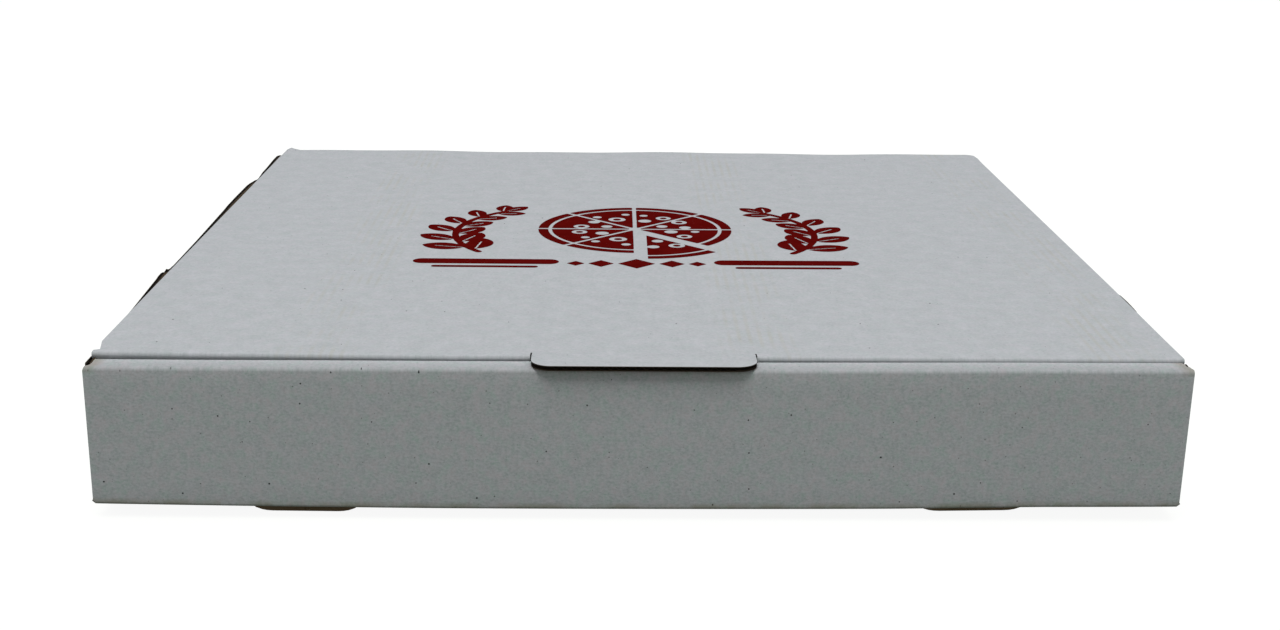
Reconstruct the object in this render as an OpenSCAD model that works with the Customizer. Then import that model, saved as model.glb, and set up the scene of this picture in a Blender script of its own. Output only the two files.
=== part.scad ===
// Pizza box folded from one die-cut blank of thin corrugated board.
// The front wall is rolled: it goes up, over a narrow top strip and down again
// inside, where two lock tabs hold it in slots of the base. The corner flaps of
// the side walls are caught in that roll. The lid is hinged along the crease on
// top of the back wall, and its tuck flap slips in behind the front roll. A thumb
// tab, cut out of the tuck flap, stays flat and reaches over the front wall.
//
// +X is to the right, +Y to the back and +Z up. The origin is the middle of the
// underside of the base. All sizes are in millimetres.

/* [Board] */
// Thickness of the corrugated board
board = 1.5; // [1.0:0.1:2.0]
// Inside radius of a creased fold
crease_r = 0.5; // [0.2:0.1:1.0]

/* [Box] */
// Outside width, left to right
box_w = 323; // [260:1:420]
// Outside depth, front to back
box_d = 323; // [260:1:420]
// Height from the underside of the base to the top of the walls
wall_h = 42; // [36:0.5:60]

/* [Front roll] */
// Depth of the rolled front wall, from its outer face to its inner face
roll_d = 8.2; // [7.5:0.1:12]
// Width of each lock tab where it leaves the inner front wall
lock_tab_w = 31; // [20:1:44]
// From the outside of a side wall to the middle of the nearer lock tab
lock_tab_inset = 62.5; // [58:0.5:100]
// How far the lock tabs come out below the base
lock_tab_drop = 3.9; // [2.5:0.1:6]
// How much each side of a lock tab slants in towards its tip
lock_tab_taper = 0.8; // [0:0.1:5]
// Corner radius at the tip of a lock tab
lock_tab_r = 3; // [0.5:0.1:4]

/* [Corner flaps] */
// Length of the corner flaps at both ends of a side wall
flap_l = 38; // [15:1:40]
// How much the upper and lower edges of a corner flap slant in towards its free end
flap_taper = 2; // [0:0.1:4]
// Corner radius at the free end of a corner flap
flap_r = 9; // [1:0.5:15]

/* [Lid] */
// How far each side edge of the lid stays inside the side wall's outer face
lid_inset = 0.4; // [0:0.1:1]
// Length of the tuck flap below the lid's front fold
tuck_l = 34; // [20:0.5:35]
// How much each end of the tuck flap slants in towards its lower edge
tuck_taper = 3; // [0:0.1:10]
// Corner radius at the lower corners of the tuck flap
tuck_r = 12; // [1:0.5:18]
// How far the tuck flap leans in from upright, in degrees
tuck_lean = 4; // [3.5:0.5:12]
// Width of the thumb tab
thumb_w = 66; // [40:1:110]
// How far the thumb tab reaches past the front wall
thumb_overhang = 2.5; // [0:0.1:8]
// Corner radius of the thumb tab
thumb_r = 6; // [1:0.5:10]
// Width of the knife cut on each side of the thumb tab
slit_w = 0.5; // [0.3:0.1:1.5]
// How far the knife cuts run into the lid behind its front fold
slit_l = 1.2; // [0.4:0.1:6]
// Length of the nick in the lid's left edge, just behind the front fold
nick_l = 8; // [2:0.5:20]
// Depth of that nick
nick_d = 1.7; // [0.5:0.1:3]

/* [Fit] */
// Room left between panels that lie against or slide past each other
clearance = 0.3; // [0.2:0.05:0.5]
// Room left in the lid's crease, between the lid and the top of the back wall
crease_gap = 0.1; // [0.05:0.05:0.3]

/* [Hidden] */

$fn = 64;
arc_steps = 8;

white_liner = [0.74, 0.76, 0.77];

// The outside radius of a fold, which is also the room that a fold takes up
bend_r = crease_r + board;
// How far the ends of a fold run on into the panels that it joins
lap = crease_r / 2;

half_w = box_w / 2;
front_y = -box_d / 2;
back_y = box_d / 2;

// Front roll
roll_back_y = front_y + roll_d;
inner_half_w = half_w - board - clearance;
inner_wall_z = board + clearance;
lock_tab_x = half_w - lock_tab_inset;

// Side walls: their ends turn into the corner flaps, which lie inside the front
// and back walls. Their top steps down at the ends to pass under the roll's strip
// and the lid's hinge, and a little under the ends of the lid's front fold.
side_front_y = front_y + board + clearance + bend_r;
side_back_y = back_y - board - clearance - bend_r;
flap_z = bend_r + clearance;
shoulder_z = wall_h - board - clearance;
shoulder_rise = wall_h - shoulder_z;
roll_shoulder_y = roll_back_y - bend_r;

// Lid
lid_z = wall_h + clearance;
lid_top = lid_z + board;
lid_half_w = half_w - lid_inset;
hinge_z = lid_top - bend_r;
tuck_front_y = roll_back_y + clearance;
lid_front_y = tuck_front_y + bend_r;
lid_back_y = back_y - bend_r;
front_shoulder_y = lid_front_y + bend_r;
back_shoulder_y = side_back_y - bend_r;

// Tuck flap and thumb tab: the notch in the flap is as deep as the thumb tab that
// was cut from it, less the board that the fold takes up
tuck_half_w = inner_half_w - clearance;
tuck_shoulder_z = hinge_z - lap - clearance;
thumb_half_w = thumb_w / 2;
thumb_tip_y = front_y - thumb_overhang;
fold_length = (crease_r + board / 2) * PI / 2;
notch_d = lid_front_y - thumb_tip_y + slit_w - fold_length;
notch_half_w = thumb_half_w + slit_w;

// Outlines

function unit(v) = v / norm(v);

// The points of a corner at p between a and b, rounded with radius r
function corner(a, p, b, r) =
    r == 0 ? [p] :
    let (
        u = unit(a - p),
        v = unit(b - p),
        half = acos(u * v) / 2,
        centre = p + unit(u + v) * r / sin(half),
        start = p + u * r / tan(half) - centre,
        end = p + v * r / tan(half) - centre,
        from = atan2(start.y, start.x),
        turn = atan2(start.x * end.y - start.y * end.x, start * end)
    )
    [for (i = [0 : arc_steps])
        let (angle = from + turn * i / arc_steps)
        centre + r * [cos(angle), sin(angle)]];

// An outline from a list of [x, y, corner radius]
function rounded(points) =
    let (
        n = len(points),
        at = function (i) let (p = points[(i + n) % n]) [p.x, p.y]
    )
    [for (i = [0 : n - 1])
        each corner(at(i - 1), at(i), at(i + 1), points[i].z)];

// The outline's left half followed by its mirror image, for a list that runs from
// the middle of one edge round the left side to the middle of the other
function mirrored(points) = concat(
    points,
    [for (i = [len(points) - 1 : -1 : 0]) [-points[i].x, points[i].y, points[i].z]]
);

// Sheet parts

// A square fold of the board about the z axis: it starts on the +x side and turns
// to +y. Its ends run on a little way into the panels that it joins, unless its
// start is free.
module fold(length, free_start = false) {
    rotate_extrude(angle = 90)
        translate([crease_r, 0])
            square([board, length]);
    if (!free_start)
        translate([crease_r, -lap, 0])
            cube([board, lap, length]);
    translate([-lap, crease_r, 0])
        cube([lap, board, length]);
}

// Turns a shape drawn in (y, z) so that it runs along the width
module along_width() {
    rotate([90, 0, 90]) children();
}

// A panel in the XY plane, from z up
module flat_panel(points, z) {
    translate([0, 0, z])
        linear_extrude(board)
            polygon(rounded(points));
}

// A panel that faces front and back, with its outline in (x, z), from y backwards
module cross_panel(points, y) {
    translate([0, y + board, 0])
        rotate([90, 0, 0])
            linear_extrude(board)
                polygon(rounded(points));
}

// A panel that faces left and right, with its outline in (y, z), from x to the right
module long_panel(points, x) {
    translate([x, 0, 0])
        along_width()
            linear_extrude(board)
                polygon(rounded(points));
}

// Tray

module base_panel() {
    slot_y = roll_back_y - board - clearance;
    difference() {
        translate([-half_w + bend_r, front_y + bend_r, 0])
            cube([box_w - 2 * bend_r, box_d - 2 * bend_r, board]);
        for (side = [-1, 1])
            translate([side * lock_tab_x - lock_tab_w / 2 - clearance, slot_y, -board])
                cube([lock_tab_w + 2 * clearance, board + 2 * clearance, 3 * board]);
    }
}

// The outer front wall with the creases at its foot and its top
module outer_front_wall() {
    along_width()
        translate([0, 0, -half_w]) {
            translate([front_y + bend_r, bend_r, 0])
                rotate(180)
                    fold(box_w);
            translate([front_y, bend_r, 0])
                cube([board, wall_h - 2 * bend_r, box_w]);
            translate([front_y + bend_r, wall_h - bend_r, 0])
                rotate(90)
                    fold(box_w);
        }
}

// The strip on top of the roll, cut back at its ends to the width of the inner wall
module roll_strip() {
    flat_panel([
        [-half_w, front_y + bend_r, 0],
        [half_w, front_y + bend_r, 0],
        [half_w, front_y + bend_r + lap, 0],
        [inner_half_w, roll_back_y - bend_r - lap, 0],
        [inner_half_w, roll_back_y - bend_r, 0],
        [-inner_half_w, roll_back_y - bend_r, 0],
        [-inner_half_w, roll_back_y - bend_r - lap, 0],
        [-half_w, front_y + bend_r + lap, 0]
    ], wall_h - board);
}

// The inner front wall, hung from the strip, with the lock tabs at its foot
module inner_front_wall() {
    tab_left = -lock_tab_x - lock_tab_w / 2;
    tab_right = -lock_tab_x + lock_tab_w / 2;
    along_width()
        translate([roll_back_y - bend_r, wall_h - bend_r, -inner_half_w])
            fold(2 * inner_half_w);
    cross_panel(mirrored([
        [-inner_half_w, wall_h - bend_r, 0],
        [-inner_half_w, inner_wall_z, 0],
        [tab_left, inner_wall_z, 0],
        [tab_left, 0, 0],
        [tab_left + lock_tab_taper, -lock_tab_drop, lock_tab_r],
        [tab_right - lock_tab_taper, -lock_tab_drop, lock_tab_r],
        [tab_right, 0, 0],
        [tab_right, inner_wall_z, 0]
    ]), roll_back_y - board);
}

module back_wall() {
    along_width()
        translate([0, 0, -lid_half_w]) {
            translate([back_y - bend_r, bend_r, 0])
                rotate(270)
                    fold(2 * lid_half_w);
            translate([back_y - board, bend_r, 0])
                cube([board, hinge_z - crease_gap - bend_r, 2 * lid_half_w]);
        }
}

// The front corner flap of the left side wall, with its crease
module corner_flap() {
    flap_end = -half_w + bend_r + flap_l;
    translate([-half_w + bend_r, side_front_y, flap_z])
        rotate(180)
            fold(shoulder_z - flap_z);
    cross_panel([
        [-half_w + bend_r, flap_z, 0],
        [-half_w + bend_r + lap, flap_z, 0],
        [flap_end, flap_z + flap_taper, flap_r],
        [flap_end, shoulder_z - flap_taper, flap_r],
        [-half_w + bend_r + lap, shoulder_z, 0],
        [-half_w + bend_r, shoulder_z, 0]
    ], side_front_y - bend_r);
}

// The left side wall with its crease and its corner flaps
module side_wall() {
    translate([-half_w + bend_r, side_back_y, bend_r])
        rotate([90, 0, 0])
            rotate(180)
                fold(side_back_y - side_front_y);
    long_panel([
        [side_front_y, bend_r, 0],
        [side_back_y, bend_r, 0],
        [side_back_y, shoulder_z, 0],
        [back_shoulder_y, shoulder_z, 0],
        [back_shoulder_y - shoulder_rise, wall_h, 0],
        [front_shoulder_y + wall_h - tuck_shoulder_z, wall_h, 0],
        [front_shoulder_y, tuck_shoulder_z, 0],
        [roll_shoulder_y, tuck_shoulder_z, 0],
        [roll_shoulder_y, shoulder_z, 0],
        [side_front_y, shoulder_z, 0]
    ], -half_w);
    for (end = [0, 1])
        mirror([0, end, 0])
            corner_flap();
}

module tray() {
    color(white_liner)
        union() {
            base_panel();
            outer_front_wall();
            roll_strip();
            inner_front_wall();
            back_wall();
            for (side = [0, 1])
                mirror([side, 0, 0])
                    side_wall();
        }
}

// Lid

// The lid's flat panel with the thumb tab, and a nick worn in its left edge
module lid_panel() {
    nick_end_y = lid_front_y + bend_r / 2;
    flat_panel([
        [lid_half_w, lid_back_y, 0],
        [-lid_half_w, lid_back_y, 0],
        [-lid_half_w, nick_end_y + nick_l, 0],
        [-lid_half_w + nick_d, nick_end_y, 0],
        [-lid_half_w, lid_front_y + lap, 0],
        [-lid_half_w, lid_front_y, 0],
        [-notch_half_w, lid_front_y, 0],
        [-notch_half_w, lid_front_y + slit_l, 0],
        [-thumb_half_w, lid_front_y + slit_l, 0],
        [-thumb_half_w, thumb_tip_y, thumb_r],
        [thumb_half_w, thumb_tip_y, thumb_r],
        [thumb_half_w, lid_front_y + slit_l, 0],
        [notch_half_w, lid_front_y + slit_l, 0],
        [notch_half_w, lid_front_y, 0],
        [lid_half_w, lid_front_y, 0]
    ], lid_z);
}

// The crease along the lid's front, which stops at the thumb tab
module lid_front_crease() {
    for (side = [0, 1])
        mirror([side, 0, 0])
            along_width()
                translate([lid_front_y, hinge_z, notch_half_w])
                    rotate(90)
                        fold(lid_half_w - notch_half_w);
}

// The tuck flap, which leans in below its crease, with rounded lower corners and
// the notch that the thumb tab was cut from
module tuck_flap() {
    foot_y = tuck_front_y + (tuck_l - lap) * tan(tuck_lean);
    intersection() {
        along_width()
            translate([0, 0, -lid_half_w])
                linear_extrude(2 * lid_half_w)
                    polygon([
                        [tuck_front_y, hinge_z],
                        [tuck_front_y + board, hinge_z],
                        [tuck_front_y + board, hinge_z - lap],
                        [foot_y + board, hinge_z - tuck_l],
                        [foot_y, hinge_z - tuck_l],
                        [tuck_front_y, hinge_z - lap]
                    ]);
        translate([0, lid_front_y + tuck_l, 0])
            rotate([90, 0, 0])
                linear_extrude(2 * tuck_l)
                    polygon(rounded(mirrored([
                        [-notch_half_w, hinge_z - notch_d, thumb_r],
                        [-notch_half_w, hinge_z, 0],
                        [-lid_half_w, hinge_z, 0],
                        [-lid_half_w, hinge_z - lap, 0],
                        [-tuck_half_w, hinge_z - lap, 0],
                        [-tuck_half_w + tuck_taper, hinge_z - tuck_l, tuck_r]
                    ])));
    }
}

// The fold at the back of the lid, which meets the top of the back wall
module lid_back_crease() {
    along_width()
        translate([lid_back_y, hinge_z, -lid_half_w])
            fold(2 * lid_half_w, free_start = true);
}

module lid() {
    color(white_liner)
        union() {
            lid_panel();
            lid_front_crease();
            tuck_flap();
            lid_back_crease();
        }
}

tray();
lid();
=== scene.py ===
import math
from itertools import groupby

import bpy
import numpy as np
from mathutils import Matrix, Vector

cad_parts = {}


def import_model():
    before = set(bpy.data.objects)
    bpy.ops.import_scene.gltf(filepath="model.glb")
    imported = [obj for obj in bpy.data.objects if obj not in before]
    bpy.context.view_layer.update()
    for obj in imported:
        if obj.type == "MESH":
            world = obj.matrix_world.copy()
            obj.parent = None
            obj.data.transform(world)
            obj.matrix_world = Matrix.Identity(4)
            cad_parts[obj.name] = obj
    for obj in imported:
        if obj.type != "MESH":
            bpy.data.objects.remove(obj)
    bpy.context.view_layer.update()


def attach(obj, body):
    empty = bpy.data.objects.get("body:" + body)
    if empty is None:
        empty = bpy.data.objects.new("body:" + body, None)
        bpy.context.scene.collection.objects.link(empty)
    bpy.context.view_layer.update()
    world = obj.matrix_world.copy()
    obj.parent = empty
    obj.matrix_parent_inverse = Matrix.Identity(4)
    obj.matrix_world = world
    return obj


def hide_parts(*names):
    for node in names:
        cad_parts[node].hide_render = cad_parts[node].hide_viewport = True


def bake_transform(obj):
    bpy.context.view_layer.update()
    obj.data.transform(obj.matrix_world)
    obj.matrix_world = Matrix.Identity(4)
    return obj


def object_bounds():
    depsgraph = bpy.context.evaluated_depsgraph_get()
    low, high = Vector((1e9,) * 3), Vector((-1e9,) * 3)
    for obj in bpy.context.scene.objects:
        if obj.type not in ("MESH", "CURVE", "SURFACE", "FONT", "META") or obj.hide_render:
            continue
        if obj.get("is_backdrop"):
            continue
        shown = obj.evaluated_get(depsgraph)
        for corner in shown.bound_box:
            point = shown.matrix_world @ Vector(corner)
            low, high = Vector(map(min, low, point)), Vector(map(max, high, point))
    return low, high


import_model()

# Sizes in millimetres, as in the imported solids

MM = 0.001
BOARD = 1.5
CREASE_R = 0.5
BEND_R = CREASE_R + BOARD
MID_R = CREASE_R + BOARD / 2
HALF_W = 161.5
FRONT_Y = -161.5
BACK_Y = 161.5
WALL_H = 42.0
ROLL_D = 8.2
CLEARANCE = 0.3
INNER_HALF_W = HALF_W - BOARD - CLEARANCE
INNER_WALL_Z = BOARD + CLEARANCE
LOCK_TAB_X = 99.0
LOCK_TAB_HALF_W = 15.5
LOCK_TAB_DROP = 3.9
LOCK_TAB_TAPER = 0.8
LOCK_TAB_R = 3.0
FLAP_L = 38.0
FLAP_R = 9.0
FLAP_TAPER = 2.0
LID_HALF_W = HALF_W - 0.4
LID_TOP = WALL_H + CLEARANCE + BOARD
HINGE_Z = LID_TOP - BEND_R
TUCK_FRONT_Y = FRONT_Y + ROLL_D + CLEARANCE
LID_FRONT_Y = TUCK_FRONT_Y + BEND_R
LID_BACK_Y = BACK_Y - BEND_R
TUCK_L = 34.0
TUCK_LEAN = 4.0
TUCK_R = 12.0
TUCK_TAPER = 3.0
TUCK_HALF_W = INNER_HALF_W - CLEARANCE
THUMB_HALF_W = 33.0
THUMB_TIP_Y = FRONT_Y - 2.5
THUMB_R = 6.0
SLIT_W = 0.5
SLIT_L = 1.2
NOTCH_HALF_W = THUMB_HALF_W + SLIT_W
# The folds at the front are pressed tighter than the other creases, and the flap leans a little less
FOLD_R = 0.1
UNDERCUT = 26.0
UNDERCUT_L = 2.2
FLAP_LEAN = TUCK_LEAN - 1.0
FOLD_SHIFT = MID_R - FOLD_R
FOOT_R = 0.35
FOOT_SHIFT = MID_R - FOOT_R
BROW_R = 0.35
BROW_SHIFT = MID_R - BROW_R
TAB_END_L = 6.0
LID_EDGE_Y = LID_FRONT_Y - FOLD_SHIFT
NOTCH_D = LID_EDGE_Y - THUMB_TIP_Y + SLIT_W - FOLD_R * math.pi / 2
NICK_L = 8.0
NICK_D = 1.7
SIDE_Y = BACK_Y - BOARD - CLEARANCE - BEND_R
FLAP_Z = BEND_R + CLEARANCE
SHOULDER_Z = WALL_H - BOARD - CLEARANCE
SHOULDER_RISE = WALL_H - SHOULDER_Z
LAP = CREASE_R / 2
TUCK_SHOULDER_Z = HINGE_Z - LAP - CLEARANCE
TUCK_SHOULDER_RISE = WALL_H - TUCK_SHOULDER_Z
ROLL_SHOULDER_Y = FRONT_Y + ROLL_D - BEND_R
FRONT_SHOULDER_Y = LID_FRONT_Y + BEND_R
BACK_SHOULDER_Y = SIDE_Y - BEND_R
BASE_X = HALF_W - BEND_R
BASE_Y = BACK_Y - BEND_R

# The board: two liners and a fluted sheet whose flutes run from front to back

LINER = 0.24
FLUTE_PITCH = 3.2
FLUTE_SHEET = 0.17
FLUTE_SWING = 0.4
FLUTE_STEP = 0.4
EDGE_RECESS = 0.8
# The fluted sheet's edge, as shares of the recess
FLUTE_FRONT = 0.08
FLUTE_BACK = 0.97
SHARPEST_CORNER = 0.6

# The mesh: steps between its lines, and how near two numbers are when they count as one

GRID = 6.0
STRIP_STEP = 1.5
THUMB_STEP = 1.0
FLAP_STEP = 3.0
CREASE_STEP = 0.8
TINY = 1e-9
SAME = 1e-6
ON_SEAM = 1e-3
POINTS_PER_MM = 2000

# Where the tray and the lid hand over to the strip that bends in the hinge crease

CREASE_LOW_Z = 39.0
CREASE_LID_Y = LID_BACK_Y - 3.0

# Places of the board's materials, and the bands of a cut edge from the white side to the brown one

WHITE, KRAFT, EDGE, LIP, KRAFT_LIP = range(5)
RING = ("white", "kraft", "under", "deep", "floor", "over")
EDGE_BANDS = (
    ("white", "under", LIP),
    ("under", "deep", EDGE),
    ("deep", "floor", EDGE),
    ("floor", "over", EDGE),
    ("over", "kraft", KRAFT_LIP),
)


def smooth(t):
    t = np.clip(t, 0.0, 1.0)
    return t * t * (3 - 2 * t)


def ease(value, zero, one):
    """Goes smoothly from 0 to 1 as the value goes from one place to another."""
    return smooth((value - zero) / (one - zero))


def from_table(place, table):
    """Reads a table of places and values, with straight lines between its rows."""
    rows = sorted(table)
    return np.interp(place, [row[0] for row in rows], [row[1] for row in rows])


def lines(*marks, step=GRID):
    """Grid lines through every mark, with steps of about step between them."""
    marks = sorted(set(round(mark, 6) for mark in marks))
    out = [marks[0]]
    for low, high in zip(marks, marks[1:]):
        count = max(1, math.ceil((high - low) / step - TINY))
        out += [low + (high - low) * (i + 1) / count for i in range(count)]
    return out


def arc_lines(start, end, count=7):
    return [start + (end - start) * i / count for i in range(count + 1)]


def round_inset(distance, radius):
    """How far a rounded corner pulls an edge in, at a distance from the end."""
    if distance >= radius:
        return 0.0
    return radius - math.sqrt(max(0.0, radius ** 2 - (radius - distance) ** 2))


def turn_lines(end, radius, angles):
    """Places in a rounding before an end, at these angles round it."""
    return [end - radius * (1 - math.sin(math.radians(angle))) for angle in angles]


def round_lines(length, radius):
    """Distances along a panel that is rounded at its end, closer in the rounding."""
    return lines(0.0, length - radius) + turn_lines(length, radius, range(10, 91, 10))


def joined_lines(*groups):
    """One rising row of places from several, each place once."""
    out = []
    for group in groups:
        for place in group:
            if not out or place > out[-1] + SAME:
                out.append(place)
    return out


def pulled_in(x, reach, full, start):
    """Moves the end of a row in from full to reach, with no change inside start."""
    if abs(x) <= start:
        return x
    share = (abs(x) - start) / (full - start)
    return math.copysign(start + share * (reach - start), x)


def both_sides(*values):
    return [side * value for value in values for side in (-1, 1)]


def unit(v):
    return v / max(TINY, np.linalg.norm(v))


class Path:
    """A folded line in a plane. Its marks are the lengths at which its lines and arcs end."""

    def __init__(self, point, heading):
        self.spans = []
        self.marks = []
        self.point = np.array(point, float)
        self.heading = math.radians(heading)
        self.length = 0.0

    def line(self, length, turn=0.0):
        self.spans.append((self.length, length, self.point, self.heading, turn))
        self.length += length
        self.point = self.at(self.length)
        self.heading += turn
        self.marks.append(self.length)

    def arc(self, degrees, radius):
        self.line(math.radians(abs(degrees)) * radius, math.radians(degrees))

    def kink(self, degrees):
        self.heading += math.radians(degrees)

    def at(self, s):
        for start, length, point, heading, turn in self.spans:
            if s <= start + length + TINY:
                break
        gone = s - start
        if turn == 0.0:
            return point + gone * np.array([math.cos(heading), math.sin(heading)])
        radius = length / abs(turn)
        side = math.copysign(1.0, turn)
        angle = side * gone / radius
        centre = point + side * radius * np.array([-math.sin(heading), math.cos(heading)])
        dx, dy = point - centre
        cos, sin = math.cos(angle), math.sin(angle)
        return centre + np.array([cos * dx - sin * dy, sin * dx + cos * dy])


class Sheet:
    """The board's middle surface, made of grid patches that share their edges."""

    def __init__(self):
        self.points = []
        self.blank = []
        self.faces = []
        self.index = {}

    def vertex(self, point, blank):
        key = tuple(int(round(c * POINTS_PER_MM)) for c in point)
        if key not in self.index:
            self.index[key] = len(self.points)
            self.points.append(np.array(point, float))
            self.blank.append(blank)
        return self.index[key]

    def patch(self, us, vs, place, white, keep=None):
        """Adds cells between grid lines, with the white side facing this way in the first cell."""
        grid = [[self.vertex(*place(u, v)) for v in vs] for u in us]
        flip = None
        for i in range(len(us) - 1):
            for j in range(len(vs) - 1):
                if keep and not keep((us[i] + us[i + 1]) / 2, (vs[j] + vs[j + 1]) / 2):
                    continue
                face = [grid[i][j], grid[i + 1][j], grid[i + 1][j + 1], grid[i][j + 1]]
                if len(set(face)) < 3:
                    continue
                if flip is None:
                    a, b, c = (self.points[k] for k in face[:3])
                    flip = np.dot(np.cross(b - a, c - a), white) < 0
                self.faces.append(face[::-1] if flip else face)


def drop_unused(sheet):
    used = sorted({k for face in sheet.faces for k in face})
    place = {k: i for i, k in enumerate(used)}
    points = np.array([sheet.points[k] for k in used])
    blank = np.array([sheet.blank[k] for k in used])
    faces = [[place[k] for k in face] for face in sheet.faces]
    return points, blank, faces


def vertex_normals(points, faces):
    normals = np.zeros_like(points)
    for face in faces:
        corners = points[face]
        np.add.at(normals, face, np.cross(corners[2] - corners[0], corners[-1] - corners[1]))
    return normals / np.linalg.norm(normals, axis=1)[:, None]


def boundary_runs(faces):
    """The sheet's cut edges as closed loops, with the sheet to their left."""
    edges = dict.fromkeys((a, b) for face in faces for a, b in zip(face, face[1:] + face[:1]))
    after = {}
    for a, b in edges:
        if (b, a) not in edges:
            after.setdefault(a, []).append(b)
    loops = []
    while after:
        start = next(iter(after))
        loop = [start]
        while True:
            ends = after[loop[-1]]
            step = ends.pop()
            if not ends:
                del after[loop[-1]]
            if step == start:
                break
            loop.append(step)
        loops.append(loop)
    return loops


def at_seam(point):
    """Whether a point lies where the tray or the lid meets the strip in the hinge crease."""
    x, y, z = point
    on_wall = y > BACK_Y - BOARD and abs(z - CREASE_LOW_Z) < ON_SEAM
    return on_wall or (z > WALL_H and abs(y - CREASE_LID_Y) < ON_SEAM)


class Board:
    """A mesh of corrugated board: both liners, and cut edges with their flutes."""

    def __init__(self, sheet, warp):
        self.rest, self.blank_of, self.sheet_faces = drop_unused(sheet)
        self.mid = warp(self.rest)
        self.normal = vertex_normals(self.mid, self.sheet_faces)
        self.points = []
        self.blank = []
        self.faces = []
        self.kinds = []
        self.soft = []
        self.liners()
        for loop in boundary_runs(self.sheet_faces):
            self.cut_edge(loop)

    def add(self, point, blank):
        self.points.append(point)
        self.blank.append(blank)
        return len(self.points) - 1

    def face(self, corners, kind, soft=False):
        self.faces.append(corners)
        self.kinds.append(kind)
        self.soft.append(soft)

    def liners(self):
        half = BOARD / 2
        self.white = [self.add(p + n * half, b) for p, n, b in zip(self.mid, self.normal, self.blank_of)]
        self.kraft = [self.add(p - n * half, b) for p, n, b in zip(self.mid, self.normal, self.blank_of)]
        for face in self.sheet_faces:
            self.face([self.white[k] for k in face], WHITE, True)
            self.face([self.kraft[k] for k in reversed(face)], KRAFT, True)

    def inward(self, before, here, after):
        """The way in from a cut edge, longer at a corner, so that both its edges move in by one."""
        normal = self.normal[here]
        first = unit(np.cross(normal, self.mid[here] - self.mid[before]))
        second = unit(np.cross(normal, self.mid[after] - self.mid[here]))
        both = unit(first + second)
        return both / max(SHARPEST_CORNER, float(np.dot(both, first)))

    def cut_edge(self, loop):
        """Both liners' cuts along a loop, with a hollow between them except at a seam."""
        count = len(loop)
        rings = []
        for i, here in enumerate(loop):
            before, after = loop[i - 1], loop[(i + 1) % count]
            pull = self.inward(before, here, after) * EDGE_RECESS
            top = self.points[self.white[here]]
            low = self.points[self.kraft[here]]
            blank = self.blank_of[here]
            lip = (low - top) * (LINER / BOARD)
            under, over = top + lip, low - lip
            places = (top, low, under, under + pull, over + pull, over)
            ring = {name: self.add(place, blank) for name, place in zip(RING, places)}
            ring["lift"] = (under, over, pull, blank)
            rings.append(ring)
        seams = [at_seam(self.rest[here]) for here in loop]
        joined = [seams[i] and seams[(i + 1) % count] for i in range(count)]
        for i in range(count):
            a, b = rings[i], rings[(i + 1) % count]
            if joined[i]:
                self.face([a["white"], a["kraft"], b["kraft"], b["white"]], EDGE)
                continue
            for first, second, kind in EDGE_BANDS:
                self.face([a[first], a[second], b[second], b[first]], kind)
            if joined[i - 1]:
                self.face([a["under"], a["over"], a["floor"], a["deep"]], EDGE)
            if joined[(i + 1) % count]:
                self.face([b["deep"], b["floor"], b["over"], b["under"]], EDGE)
        self.flutes(rings, joined)

    def flutes(self, rings, joined):
        """The wavy edge of the fluted sheet, set back a little between the liners."""
        count = len(rings)
        start = joined.index(True) if any(joined) else 0
        order = [(start + k) % count for k in range(count)]
        for seam, group in groupby(order, joined.__getitem__):
            run = list(group)
            if not seam:
                self.flute_run(rings, run, closed=len(run) == count)

    def flute_run(self, rings, run, closed):
        count = len(rings)
        samples = []
        for i in run:
            a, b = rings[i]["lift"], rings[(i + 1) % count]["lift"]
            length = np.linalg.norm(b[0] - a[0])
            across = abs(b[3][0] - a[3][0])
            steps = max(1, math.ceil(across / FLUTE_STEP), math.ceil(length / GRID))
            for k in range(steps):
                t = k / steps
                samples.append([np.array(p) * (1 - t) + np.array(q) * t for p, q in zip(a, b)])
        if not closed:
            samples.append([np.array(p) for p in rings[(run[-1] + 1) % count]["lift"]])
        strips = []
        for under, over, pull, blank in samples:
            wave = math.sin(2 * math.pi * blank[0] / FLUTE_PITCH)
            centre = under + (over - under) * (0.5 + FLUTE_SWING * wave)
            thick = unit(over - under) * FLUTE_SHEET / 2
            corners = ((FLUTE_FRONT, -1), (FLUTE_FRONT, 1), (FLUTE_BACK, 1), (FLUTE_BACK, -1))
            strips.append([self.add(centre + pull * depth + thick * side, blank) for depth, side in corners])
        pairs = list(zip(strips, strips[1:]))
        if closed:
            pairs.append((strips[-1], strips[0]))
        for a, b in pairs:
            for k in range(4):
                after = (k + 1) % 4
                self.face([a[k], b[k], b[after], a[after]], EDGE, True)
        if not closed:
            self.face(strips[0], EDGE)
            self.face(strips[-1][::-1], EDGE)

    def piece(self, name, materials):
        return mesh_piece(name, self.points, self.faces, self.blank, materials, self.kinds, self.soft)


def in_scene(name, data):
    piece = bpy.data.objects.new(name, data)
    bpy.context.scene.collection.objects.link(piece)
    return piece


def mesh_piece(name, points, faces, blank, materials, kinds, soft):
    """An object in the scene, with its places on the flat blank as its UV map."""
    mesh = bpy.data.meshes.new(name)
    mesh.from_pydata([tuple(p * MM) for p in points], [], faces)
    layer = mesh.uv_layers.new(name="blank")
    for loop in mesh.loops:
        u, v = blank[loop.vertex_index]
        layer.data[loop.index].uv = (u * MM, v * MM)
    for material in materials:
        mesh.materials.append(material)
    mesh.polygons.foreach_set("material_index", kinds)
    mesh.polygons.foreach_set("use_smooth", soft)
    mesh.update()
    return in_scene(name, mesh)


# The folded blank

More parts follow.
